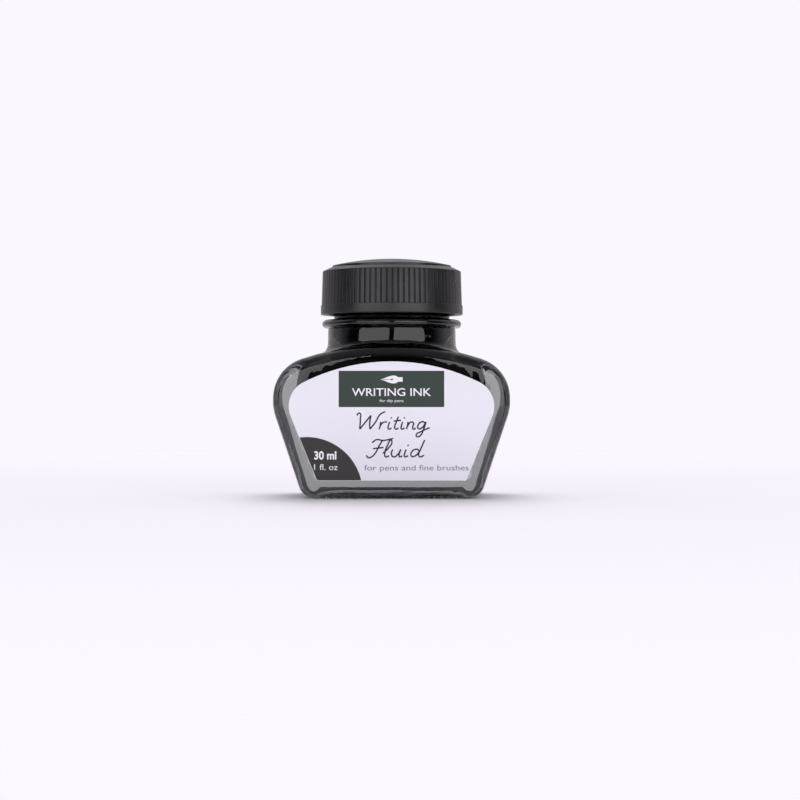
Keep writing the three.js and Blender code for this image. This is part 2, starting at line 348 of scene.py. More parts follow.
# Thin flat printing on that paper, only a little glossier than it.
GREEN_PRINT = Sheet("offset_print_dark_green", "#22332c", "#263630", 0.45, 0.2, 0.004)
CHARCOAL_PRINT = Sheet("offset_print_charcoal", "#242022", "#282427", 0.45, 0.2, 0.004)
WHITE_PRINT = Sheet("offset_print_reversed_white", "#f2f1f6", "#edecf2", 0.5, 0.2, 0.004)
GREY_PRINT = Sheet("offset_print_grey", "#6c6a71", "#747279", 0.5, 0.2, 0.004)
SCRIPT_PRINT = Sheet("offset_print_script_black", "#121013", "#18161a", 0.45, 0.2, 0.004)


# ---------------------------------------------------------------------------------------------------
# Modelling moves


def box_mm(node: str) -> tuple[Vector, Vector]:
    """The lowest and highest corner of a CAD node, in millimetres."""
    low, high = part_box(node)
    return low / MM, high / MM


def arc(centre: tuple[float, float], radius: float, start: float, end: float, step: float = 5.0) -> Profile:
    """Points along an arc.

    Args:
        centre: The arc's centre.
        radius: Its radius.
        start: The angle of its first point, in degrees.
        end: The angle of its last point, in degrees.
        step: The largest angle between two points, in degrees.

    Returns:
        The points, both ends included.
    """
    count = max(1, math.ceil(abs(end - start) / step - 1e-6))
    angles = (math.radians(start + (end - start) * i / count) for i in range(count + 1))
    return [(centre[0] + radius * math.cos(a), centre[1] + radius * math.sin(a)) for a in angles]


def rounded(corners: Sequence[tuple[float, float, float]], steps: int = 4) -> Profile:
    """Rounds the corners of a chain of straight lines.

    Args:
        corners: A first coordinate, a second coordinate and a rounding radius for each corner.
        steps: The number of pieces in each rounding.

    Returns:
        The points of the rounded chain.
    """
    points: Profile = []
    for i, (x, y, radius) in enumerate(corners):
        if radius == 0:
            points.append((x, y))
            continue
        here = Vector((x, y))
        before = (Vector(corners[i - 1][:2]) - here).normalized()
        after = (Vector(corners[(i + 1) % len(corners)][:2]) - here).normalized()
        half_angle = before.angle(after) / 2
        centre = here + (before + after).normalized() * radius / math.sin(half_angle)
        first = here + before * radius / math.tan(half_angle) - centre
        last = here + after * radius / math.tan(half_angle) - centre
        for step in range(steps + 1):
            points.append(tuple(centre + first.slerp(last, step / steps) * radius))
    return points


class Bench:
    """The modelling moves that the pieces share, each made of operators on the active mesh."""

    @staticmethod
    def clear() -> None:
        """Deselects every object, the CAD nodes included."""
        for obj in bpy.context.selected_objects:
            obj.select_set(False)

    @staticmethod
    def activate(obj: bpy.types.Object) -> None:
        """Makes one object the only selected one."""
        Bench.clear()
        bpy.context.view_layer.objects.active = obj
        obj.select_set(True)

    @staticmethod
    def pick(obj: bpy.types.Object, wanted: Callable[[Vector], bool]) -> None:
        """Selects, in edit mode, the vertices whose place in millimetres is wanted."""
        bpy.ops.mesh.select_mode(type="VERT")
        bpy.ops.mesh.select_all(action="DESELECT")
        mesh = bmesh.from_edit_mesh(obj.data)
        for vertex in mesh.verts:
            vertex.select_set(wanted(vertex.co / MM))
        mesh.select_flush_mode()
        bmesh.update_edit_mesh(obj.data)

    @staticmethod
    def trace(name: str, points: Iterable[Sequence[float]]) -> bpy.types.Object:
        """Draws a chain of edges point by point and stays in edit mode with the last point selected.

        Args:
            name: The new object's name.
            points: Places in millimetres, with three coordinates each.

        Returns:
            The object that holds the chain.
        """
        Bench.clear()
        places = [Vector(p) * MM for p in points]
        bpy.ops.mesh.primitive_plane_add(size=MM, enter_editmode=True)
        obj = bpy.context.object
        obj.name = name
        bpy.ops.mesh.merge(type="CENTER")
        bpy.ops.transform.translate(value=places[0])
        for before, after in zip(places, places[1:]):
            bpy.ops.mesh.extrude_region_move(TRANSFORM_OT_translate={"value": after - before})
        return obj

    @staticmethod
    def settle(obj: bpy.types.Object) -> bpy.types.Object:
        """Leaves edit mode and puts the object's place into its mesh."""
        if obj.mode == "EDIT":
            bpy.ops.object.mode_set(mode="OBJECT")
        Bench.activate(obj)
        bpy.ops.object.transform_apply(location=True, rotation=True, scale=True)
        return obj

    @staticmethod
    def weld() -> None:
        """Merges doubled vertices and turns the faces outwards, in edit mode."""
        bpy.ops.mesh.select_all(action="SELECT")
        bpy.ops.mesh.remove_doubles(threshold=WELD_DISTANCE * MM)
        bpy.ops.mesh.normals_make_consistent(inside=False)

    @staticmethod
    def close(obj: bpy.types.Object) -> bpy.types.Object:
        """Welds the object's faces and settles it."""
        Bench.weld()
        return Bench.settle(obj)

    @staticmethod
    def spin(name: str, profile: Profile, steps: int) -> bpy.types.Object:
        """Spins a profile of radius and height about the vertical axis and stays in edit mode."""
        obj = Bench.trace(name, [(radius, 0, height) for radius, height in profile])
        bpy.ops.mesh.select_all(action="SELECT")
        bpy.ops.mesh.spin(steps=steps, angle=FULL_TURN, center=(0, 0, 0), axis=(0, 0, 1))
        Bench.weld()
        return obj

    @staticmethod
    def turned(name: str, profile: Profile, steps: int) -> bpy.types.Object:
        """Makes a closed solid of a profile that runs from axis to axis."""
        return Bench.settle(Bench.spin(name, profile, steps))

    @staticmethod
    def slab(
        name: str, outline: Profile, near: float, far: float, rounding: float = 0.0, steps: int = 8
    ) -> bpy.types.Object:
        """Extrudes a front-view outline from one depth to another and rounds its two rims.

        Args:
            name: The new object's name.
            outline: The closed outline's points across and up.
            near: The Y of the first face.
            far: The Y of the second face.
            rounding: The radius of the rims, or zero for sharp ones.
            steps: The number of facets across a rim.

        Returns:
            The closed slab.
        """
        obj = Bench.trace(name, [(x, near, z) for x, z in outline])
        bpy.ops.mesh.select_all(action="SELECT")
        bpy.ops.mesh.edge_face_add()
        bpy.ops.mesh.extrude_region_move(TRANSFORM_OT_translate={"value": (0, (far - near) * MM, 0)})
        if rounding:
            for depth in (near, far):
                Bench.pick(obj, lambda p, depth=depth: abs(p.y - depth) < 1e-3)
                bpy.ops.mesh.bevel(
                    offset=rounding * MM, segments=steps, profile=0.5, affect="EDGES", clamp_overlap=False
                )
        return Bench.close(obj)

    @staticmethod
    def modify(obj: bpy.types.Object, kind: str, **settings: object) -> bpy.types.Object:
        """Adds a modifier with its settings and applies it."""
        Bench.activate(obj)
        modifier = obj.modifiers.new(kind.lower(), kind)
        for key, value in settings.items():
            setattr(modifier, key, value)
        bpy.ops.object.modifier_apply(modifier=modifier.name)
        return obj

    @staticmethod
    def combine(obj: bpy.types.Object, tool: bpy.types.Object, operation: str) -> bpy.types.Object:
        """Joins a tool to a piece, or cuts the piece with it, and uses the tool up."""
        Bench.modify(obj, "BOOLEAN", object=tool, operation=operation, solver="MANIFOLD")
        bpy.data.objects.remove(tool)
        return obj

    @staticmethod
    def melt(obj: bpy.types.Object, voxel: float, rounds: int) -> bpy.types.Object:
        """Remakes a piece as one even skin and softens it, as fire does to pressed glass."""
        Bench.modify(obj, "REMESH", mode="VOXEL", voxel_size=voxel * MM)
        return Bench.modify(obj, "SMOOTH", factor=0.5, iterations=rounds)

    @staticmethod
    def finish(
        obj: bpy.types.Object,
        body: Body,
        slot: str,
        materials: Sequence[bpy.types.Material],
        replaces: str | None = None,
        crease: float | None = 30.0,
    ) -> bpy.types.Object:
        """Shades a piece, gives it its materials and fixes it to its body.

        Args:
            obj: The finished mesh.
            body: The CAD body that it moves with.
            slot: The record's material slot; not used.
            materials: Its materials, the main one first.
            replaces: The CAD node that it stands for.
            crease: The angle in degrees above which an edge stays sharp, or None to smooth all.

        Returns:
            The same object.
        """
        Bench.activate(obj)
        if crease is None:
            bpy.ops.object.shade_smooth()
        else:
            bpy.ops.object.shade_smooth_by_angle(angle=math.radians(crease))
        obj.data.materials.clear()
        for material in materials:
            obj.data.materials.append(material)
        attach(obj, body.value)
        if replaces:
            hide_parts(replaces)
        log.info("%s: %d faces on %s", obj.name, len(obj.data.polygons), body.value)
        return obj


# ---------------------------------------------------------------------------------------------------
# The bottle


@dataclass
class FlaskOutline:
    """A flask from the front: arched top, round upper corners, short land, tapered sides and round feet."""

    half_width: float
    base_half: float
    floor: float
    apex: float
    arch: float
    corner: float
    land: float
    lower: float
    foot: float

    @property
    def taper(self) -> float:
        """The angle of the sides from the vertical, in radians."""
        across = self.half_width - self.lower - self.base_half
        up = self.corner_centre[1] - self.land - self.floor
        return math.atan2(across, up) + math.asin(self.lower / math.hypot(across, up))

    @property
    def corner_centre(self) -> tuple[float, float]:
        """The centre of the upper corner's arc."""
        x = self.half_width - self.corner
        return x, self.apex - self.arch + math.sqrt((self.arch - self.corner) ** 2 - x**2)

    @property
    def foot_centre(self) -> tuple[float, float]:
        """The centre of the foot's arc."""
        shift = self.foot * math.tan(self.taper) - self.foot / math.cos(self.taper)
        return self.base_half + shift, self.floor + self.foot

    def side(self, height: float) -> float:
        """The half-width of the straight side at a height."""
        return self.base_half + (height - self.floor) * math.tan(self.taper)

    def points(self, step: float = 4.0) -> Profile:
        """The closed outline, from the right foot round over the top to the left foot."""
        taper = math.degrees(self.taper)
        corner_x, corner_y = self.corner_centre
        arch_y = self.apex - self.arch
        shoulder = math.degrees(math.atan2(corner_y - arch_y, corner_x))
        right = [
            *arc(self.foot_centre, self.foot, -90, -taper, step),
            *arc((self.half_width - self.lower, corner_y - self.land), self.lower, -taper, 0, step),
            *arc((corner_x, corner_y), self.corner, 0, shoulder, step),
            *arc((0, arch_y), self.arch, shoulder, 90, step)[1:],
        ]
        return right + [(-x, y) for x, y in reversed(right[:-1])]


@dataclass
class GlassBottle:
    """The pressed flask with its neck, bead, threaded finish, cavity, bore and stippled base."""

    base_half: float = 21.0
    arch: float = 67.0
    corner: float = 9.7
    land: float = 1.2
    lower: float = 9.5
    foot: float = 3.2
    side_wall: float = 5.8
    face_wall: float = 3.6
    shoulder_wall: float = 2.4
    floor_thickness: float = 5.6
    cavity_rounding: float = 3.5
    cavity_foot: float = 4.5
    swell_size: float = 9.0
    swell_height: float = 0.65
    edge_radius: float = 3.0
    neck_radius: float = 15.5
    neck_height: float = 4.2
    neck_flare: float = 2.4
    neck_root: float = 8.0
    bore_root: float = 6.0
    bead_height: float = 1.95
    bead_radius: float = 16.85
    finish_radius: float = 14.0
    bore_radius: float = 9.8
    rim_round: float = 1.0
    pitch: float = 4.233
    thread_turns: float = 1.2
    thread_start: float = 2.65
    thread_section: float = 0.75
    thread_path: float = 14.35
    shoulder_height: float = 36.4
    foot_lift: float = 0.28
    stipple_pitch: float = 1.72
    stipple_radius: float = 0.62
    push_up: float = 0.9
    bearing_width: float = 3.6
    vent_radius: float = 0.36
    vents: tuple[tuple[float, float], ...] = ((31, 38.3), (35.5, 38.2))
    steps: int = 192
    high: Vector = field(init=False)

    def __post_init__(self) -> None:
        """Reads the glass's highest corner from the CAD model."""
        self.high = box_mm("glass_bottle")[1]

    @property
    def bead_foot(self) -> float:
        """The height of the underside of the bead."""
        return self.shoulder_height + self.neck_height

    @property
    def bead_top(self) -> float:
        """The height of the top of the bead."""
        return self.bead_foot + self.bead_height

    def outline(self) -> FlaskOutline:
        """The outside of the flask, lifted a little so that the stippling carries it."""
        return FlaskOutline(
            self.high.x,
            self.base_half,
            self.foot_lift,
            self.shoulder_height,
            self.arch,
            self.corner,
            self.land,
            self.lower,
            self.foot,
        )

    def inside(self, gap: float) -> FlaskOutline:
        """The outline of the cavity, moved in by a gap or out by a negative one."""
        outer = self.outline()
        side = self.side_wall + gap
        top = self.shoulder_wall + gap
        floor = self.floor_thickness + gap
        base_half = outer.side(floor) - side / math.cos(outer.taper)
        return FlaskOutline(
            outer.half_width - side,
            base_half,
            floor,
            outer.apex - top,
            outer.arch - top,
            outer.corner - side,
            outer.land,
            outer.lower - side,
            self.cavity_foot - gap,
        )

    def cavity(self, name: str, gap: float) -> bpy.types.Object:
        """The blown space under the neck, with the slow unevenness that blowing leaves.

        Args:
            name: The new object's name.
            gap: How far it stands in from the glass, or out into it where negative.

        Returns:
            The closed solid.
        """
        half = self.high.y - self.face_wall - gap
        solid = Bench.slab(name, self.inside(gap).points(), -half, half, self.cavity_rounding - gap)
        Bench.melt(solid, 0.5, 16)
        swell = bpy.data.textures.new(name + "_swell", "CLOUDS")
        swell.noise_scale = self.swell_size * MM
        swell.noise_depth = 1
        height = self.swell_height * MM
        Bench.modify(solid, "DISPLACE", texture=swell, texture_coords="LOCAL", strength=height, mid_level=0.5)
        return Bench.modify(solid, "SMOOTH", factor=0.5, iterations=6)

    def neck_stub(self) -> bpy.types.Object:
        """The plain neck with its flare into the shoulder, up to inside the bead."""
        flare = self.neck_radius + self.neck_flare
        root = self.shoulder_height - self.neck_root
        top = self.bead_foot + 0.4
        profile = [(0, root), (flare, root)]
        profile += arc((flare, self.shoulder_height + 0.2), self.neck_flare, 270, 180, 10)
        profile += [(self.neck_radius, top), (0, top)]
        return Bench.turned("neck_stub", profile, self.steps)

    def finish_ring(self) -> bpy.types.Object:
        """The bead and the finish above it, with a rounded sealing rim."""
        bead_round = self.bead_height / 2
        bead_centre = (self.bead_radius - bead_round, self.bead_foot + bead_round)
        rim = self.high.z
        root_fillet = 0.35
        profile = [(0, self.bead_foot), (self.neck_radius - 0.3, self.bead_foot)]
        profile += arc(bead_centre, bead_round, -90, 90, 12)
        profile += arc(
            (self.finish_radius + root_fillet, self.bead_top + root_fillet), root_fillet, 270, 180, 30
        )
        profile += arc((self.finish_radius - self.rim_round, rim - self.rim_round), self.rim_round, 0, 90, 15)
        profile += [(0, rim)]
        return Bench.turned("finish_ring", profile, self.steps)

    def bore(self) -> bpy.types.Object:
        """The tool that cuts the bore and rounds its mouth."""
        root = self.shoulder_height - self.shoulder_wall - self.bore_root
        mouth = self.bore_radius + self.rim_round
        rim = self.high.z
        profile = [(0, root), (self.bore_radius, root)]
        profile += arc((mouth, rim - self.rim_round), self.rim_round, 180, 90, 15)
        profile += [(mouth, rim + 2), (0, rim + 2)]
        return Bench.turned("bore", profile, self.steps)

    def base_hollow(self) -> bpy.types.Object:
        """The tool that cuts the shallow hollow inside the bearing ring."""
        half_x = self.outline().foot_centre[0] - self.bearing_width
        half_y = self.high.y - self.edge_radius - self.bearing_width
        Bench.clear()
        bpy.ops.mesh.primitive_cube_add(size=1, enter_editmode=True)
        tool = bpy.context.object
        tool.name = "base_hollow"
        bpy.ops.transform.resize(value=(2 * half_x * MM, 2 * half_y * MM, 2 * self.push_up * MM))
        bpy.ops.mesh.select_all(action="DESELECT")
        for edge in bmesh.from_edit_mesh(tool.data).edges:
            along = edge.verts[0].co - edge.verts[1].co
            edge.select_set(abs(along.z) > 0.5 * self.push_up * MM)
        bmesh.update_edit_mesh(tool.data)
        bpy.ops.mesh.bevel(offset=4 * MM, segments=10, profile=0.5, affect="EDGES")
        Bench.pick(tool, lambda p: p.z > 0)
        bpy.ops.mesh.bevel(offset=0.5 * MM, segments=4, profile=0.5, affect="EDGES")
        return Bench.close(tool)

    def stippling(self) -> bpy.types.Object:
        """The ring of small domes that the base stands on."""
        outer = self.outline()
        half_x = outer.foot_centre[0] - 0.6
        half_y = self.high.y - self.edge_radius - 0.2
        places: list[tuple[float, float]] = []
        across = math.floor(half_x / self.stipple_pitch)
        along = math.floor((half_y - self.stipple_pitch) / self.stipple_pitch)
        for i in range(-across, across + 1):
            places += [(i * self.stipple_pitch, -half_y), (i * self.stipple_pitch, half_y)]
        for i in range(-along, along + 1):
            places += [(-half_x, i * self.stipple_pitch), (half_x, i * self.stipple_pitch)]
        Bench.clear()
        bpy.ops.mesh.primitive_uv_sphere_add(
            segments=12, ring_count=8, radius=self.stipple_radius * MM, enter_editmode=True
        )
        dome = bpy.context.object
        dome.name = "stippling"
        bpy.ops.transform.resize(value=(0.85, 1.5, 1.0), center_override=(0, 0, 0))
        bpy.ops.transform.translate(value=(0, 0, self.stipple_radius * MM))
        Bench.settle(dome)
        copies = []
        for x, y in places[1:]:
            copy = bpy.data.objects.new("stipple", dome.data.copy())
            bpy.context.scene.collection.objects.link(copy)
            copy.data.transform(Matrix.Translation((x * MM, y * MM, 0)))
            copies.append(copy)
        dome.data.transform(Matrix.Translation((places[0][0] * MM, places[0][1] * MM, 0)))
        Bench.activate(dome)
        for copy in copies:
            copy.select_set(True)
        bpy.ops.object.join()
        return dome

    def vent_mark(self, angle: float, height: float) -> bpy.types.Object:
        """A pip that a vent of the mould leaves on the neck.

        Args:
            angle: Its direction from the front, in degrees to the right.
            height: Its height.

        Returns:
            The pip.
        """
        Bench.clear()
        across = math.radians(angle)
        place = Vector((math.sin(across), -math.cos(across), 0)) * self.neck_radius + Vector((0, 0, height))
        bpy.ops.mesh.primitive_uv_sphere_add(
            segments=16, ring_count=10, radius=self.vent_radius * MM, location=place * MM
        )
        return Bench.settle(bpy.context.object)

    def build(self, glass: bpy.types.Material) -> bpy.types.Object:
        """Makes the whole bottle as one closed skin of glass."""
        half = self.high.y
        bottle = Bench.slab("bottle_glass", self.outline().points(), -half, half, self.edge_radius, 10)
        Bench.combine(bottle, self.neck_stub(), "UNION")
        Bench.melt(bottle, 0.45, 22)
        Bench.combine(bottle, self.finish_ring(), "UNION")
        thread = Thread(self.pitch, self.thread_turns, self.thread_section, self.thread_path)
        start = self.bead_top + self.thread_start
        Bench.combine(bottle, thread.build("bottle_thread", start, 0, -1), "UNION")
        Bench.combine(bottle, self.cavity("bottle_cavity", 0), "DIFFERENCE")
        Bench.combine(bottle, self.bore(), "DIFFERENCE")
        Bench.combine(bottle, self.base_hollow(), "DIFFERENCE")
        Bench.combine(bottle, self.stippling(), "UNION")
        for angle, height in self.vents:
            Bench.combine(bottle, self.vent_mark(angle, height), "UNION")
        return Bench.finish(bottle, Body.BOTTLE, "bottle_glass", [glass], "glass_bottle", crease=40)


@dataclass
class Thread:
    """A rounded screw thread whose two ends run out into the wall."""

    pitch: float
    turns: float
    section: float
    path: float
    run_out: float = 0.09
    steps_per_turn: int = 96

    def build(self, name: str, start: float, phase: float, sink: int) -> bpy.types.Object:
        """Sweeps the thread.

        Args:
            name: The new object's name.
            start: The height of its lower end.
            phase: The angle of its lower end, in radians.
            sink: 1 where the ends run outwards into a wall, -1 where they run inwards.

        Returns:
            The closed thread.
        """
        Bench.clear()
        bpy.ops.mesh.primitive_circle_add(
            vertices=14,
            radius=self.section * MM,
            location=(self.path * MM, 0, 0),
            rotation=(math.pi / 2, 0, 0),
            enter_editmode=True,
        )
        thread = Bench.settle(bpy.context.object)
        thread.name = name
        Bench.modify(
            thread,
            "SCREW",
            axis="Z",
            angle=FULL_TURN * self.turns,
            screw_offset=self.pitch * self.turns * MM,
            steps=round(self.steps_per_turn * self.turns),
            render_steps=round(self.steps_per_turn * self.turns),
        )
        self._run_out(thread, sink)
        Bench.activate(thread)
        bpy.ops.object.mode_set(mode="EDIT")
        bpy.ops.mesh.select_all(action="SELECT")
        bpy.ops.mesh.fill_holes(sides=0)
        Bench.close(thread)
        thread.rotation_euler = (0, 0, phase)
        thread.location = (0, 0, start * MM)
        return Bench.settle(thread)

    def _run_out(self, thread: bpy.types.Object, sink: int) -> None:
        """Moves the two ends of the thread in or out, so that they sink into the wall."""
        for vertex in thread.data.vertices:
            x, y, z = vertex.co
            angle = math.atan2(y, x) % FULL_TURN
            lap = round((z / (self.pitch * MM)) - angle / FULL_TURN)
            along = (angle / FULL_TURN + max(0, lap)) / self.turns
            share = 1 - min(1.0, along / self.run_out, (1 - along) / self.run_out)
            shift = sink * share * 1.5 * self.section * MM
            radius = math.hypot(x, y)
            vertex.co.x *= (radius + shift) / radius
            vertex.co.y *= (radius + shift) / radius


@dataclass
class InkFill:
    """The ink: it fills the cavity, wets the glass and climbs a little up the bore's wall."""

    bottle: GlassBottle
    meniscus: float = 0.7
    overlap: float = 0.3
    top: float = field(init=False)

    def __post_init__(self) -> None:
        """Reads the ink's level from the CAD model."""
        self.top = box_mm("ink")[1].z

    def build(self, wetted: bpy.types.Material, free: bpy.types.Material) -> bpy.types.Object:
        """Makes the ink, slightly let into the glass so that no film of air shows between them.

        Args:
            wetted: The finish against the glass.
            free: The finish of the open surface.

        Returns:
            The ink.
        """
        ink = self.bottle.cavity("ink_fill", -self.overlap)
        radius = self.bottle.bore_radius + self.overlap
        root = self.bottle.shoulder_height - self.bottle.shoulder_wall - self.bottle.bore_root
        edge = self.top + self.meniscus
        profile = [(0, root), (radius, root), (radius, edge)]
        profile += arc((radius - self.meniscus, edge), self.meniscus, 0, -90, 15)[1:]
        profile += [(0, self.top)]
        Bench.combine(ink, Bench.turned("ink_column", profile, 96), "UNION")
        Bench.finish(ink, Body.BOTTLE, "ink", [wetted, free], "ink", crease=None)
        for face in ink.data.polygons:
            if face.center.z > (self.top - 0.2) * MM and face.normal.z > 0.2:
                face.material_index = 1
        return ink


# ---------------------------------------------------------------------------------------------------
# The cap and its liner


@dataclass
class ScrewCap:
    """The moulded cap: smooth collar, skirt of flat ribs, chamfer, domed crown, and the thread inside."""

    rib_count: int = 80
    columns_per_rib: int = 12
    groove_depth: float = 0.33
    collar_height: float = 2.3
    skirt_foot: float = 17.0
    skirt_top: float = 16.75
    skirt_height: float = 10.5
    chamfer_radius: float = 14.75
    chamfer_height: float = 0.95
    disc_radius: float = 14.4
    disc_edge: float = 0.45
    bore: float = 15.4
    ceiling: float = 9.9
    thread_start: float = 1.1
    thread_path: float = 15.1
    thread_drop: float = 1.6155
    pad_size: tuple[float, float, float] = (1.0, 1.7, 2.6)
    pad_angle: float = -26.0
    pad_drop: float = 1.5
    low: Vector = field(init=False)
    high: Vector = field(init=False)

    def __post_init__(self) -> None:
        """Reads the cap's box from the CAD model."""
        self.low, self.high = box_mm("screw_cap")

    def profile(self) -> Profile:
        """The cap's section, from the crown's middle round the skirt to the ceiling's middle."""
        foot = self.low.z
        apex = self.high.z
        collar = self.high.x
        ledge = foot + self.collar_height
        skirt = foot + self.skirt_height
        chamfer = skirt + self.chamfer_height
        disc = chamfer + self.disc_edge
        ceiling = foot + self.ceiling
        dome_height = apex - disc
        dome_radius = (self.disc_radius**2 + dome_height**2) / (2 * dome_height)
        dome_angle = math.degrees(math.asin(self.disc_radius / dome_radius))
        dome = arc((0, apex - dome_radius), dome_radius, 90, 90 - dome_angle + 0.6, 1.0)
        outside = rounded(
            [
                (*dome[-1], 0),
                (self.disc_radius, disc, 0.12),
                (self.disc_radius - 0.05, chamfer - 0.25, 0.08),
                (self.chamfer_radius, chamfer - 0.25, 0.05),
                (self.chamfer_radius + 0.05, chamfer, 0.1),
                (self.skirt_top, skirt, 0.25),
                (self.skirt_foot, ledge + 0.06, 0),
                (self.skirt_foot, ledge, 0),
                (collar, ledge, 0.08),
                (collar, foot, 0.2),
                (self.bore, foot, 0.25),
                (self.bore, ceiling, 0.4),
                (12.0, ceiling, 0.2),
                (11.6, ceiling + 1.2, 0.4),
                (0, ceiling + 1.2, 0),
            ]
        )
        return dome[:-1] + outside

    def cut_grooves(self, cap: bpy.types.Object) -> None:
        """Presses the narrow grooves into the skirt, between the wide flat ribs."""
        columns = self.rib_count * self.columns_per_rib
        foot = self.low.z + self.collar_height + 0.03
        top = self.low.z + self.skirt_height + 0.02
        depths = {0: 0.06, 1: 0.85, 2: 1.0, 3: 0.85, 4: 0.06}
        middle = self.skirt_foot - 0.12
        for column, share in depths.items():

            def in_groove(p: Vector, column: int = column) -> bool:
                if not (foot < p.z < top and math.hypot(p.x, p.y) > self.skirt_top - 0.2):
                    return False
                turn = math.atan2(p.y, p.x) / FULL_TURN * columns
                return round(turn) % self.columns_per_rib == column

            Bench.pick(cap, in_groove)
            factor = 1 - self.groove_depth * share / middle
            bpy.ops.transform.resize(value=(factor, factor, 1), center_override=(0, 0, 0))

    def index_pad(self) -> bpy.types.Object:
        """The small square pad that the mould leaves on the skirt."""
        Bench.clear()
        bpy.ops.mesh.primitive_cube_add(size=1, enter_editmode=True)
        pad = bpy.context.object
        bpy.ops.transform.resize(value=tuple(size * MM for size in self.pad_size))
        bpy.ops.mesh.bevel(offset=0.15 * MM, segments=3, profile=0.5, affect="EDGES")
        Bench.settle(pad)
        height = self.low.z + self.skirt_height - self.pad_drop
        angle = math.radians(self.pad_angle)
        reach = self.skirt_top - 0.3
        pad.rotation_euler = (0, 0, angle)
        pad.location = (reach * math.cos(angle) * MM, reach * math.sin(angle) * MM, height * MM)
        return Bench.settle(pad)

    def build(self, plastic: bpy.types.Material, bottle: GlassBottle) -> bpy.types.Object:
        """Makes the cap.

        Args:
            plastic: The cap's finish.
            bottle: The bottle whose thread the cap's thread engages.

        Returns:
            The cap.
        """
        cap = Bench.spin("cap_shell", self.profile(), self.rib_count * self.columns_per_rib)
        self.cut_grooves(cap)
        Bench.settle(cap)
        thread = Thread(bottle.pitch, bottle.thread_turns, bottle.thread_section, self.thread_path)
        start = self.low.z + self.thread_start
        rise = start + self.thread_drop - bottle.bead_top - bottle.thread_start
        helix = thread.build("cap_thread", start, FULL_TURN * rise / bottle.pitch, 1)
        band = Bench.turned(
            "thread_band",
            [(0, self.low.z), (self.bore + 0.4, self.low.z), (self.bore + 0.4, start + 8), (0, start + 8)],
            240,
        )
        Bench.combine(helix, band, "INTERSECT")
        Bench.combine(cap, helix, "UNION")
        Bench.combine(cap, self.index_pad(), "UNION")
        return Bench.finish(cap, Body.CAP, "cap_plastic", [plastic], "screw_cap", crease=32)


@dataclass
class CapLiner:
    """The foam sealing disc, marked by the rim that presses into it."""

    mark_inner: float = 9.2
    mark_outer: float = 13.4
    mark_depth: float = 0.1

    def build(self, foam: bpy.types.Material) -> bpy.types.Object:
        """Makes the disc from the CAD liner's box."""
        low, high = box_mm("cap_liner")
        edge = high.x
        under = low.z
        section = rounded(
            [
                (0, high.z, 0),
                (edge, high.z, 0.2),
                (edge, under, 0.2),
                (self.mark_outer + 0.2, under, 0.05),
                (self.mark_outer, under + self.mark_depth, 0.05),
                (self.mark_inner, under + self.mark_depth, 0.05),
                (self.mark_inner - 0.2, under, 0.05),
                (0, under, 0),
            ]
        )
        disc = Bench.turned("liner_disc", section, 128)
        return Bench.finish(disc, Body.LINER, "liner_foam", [foam], "cap_liner")


# ---------------------------------------------------------------------------------------------------
# The labels


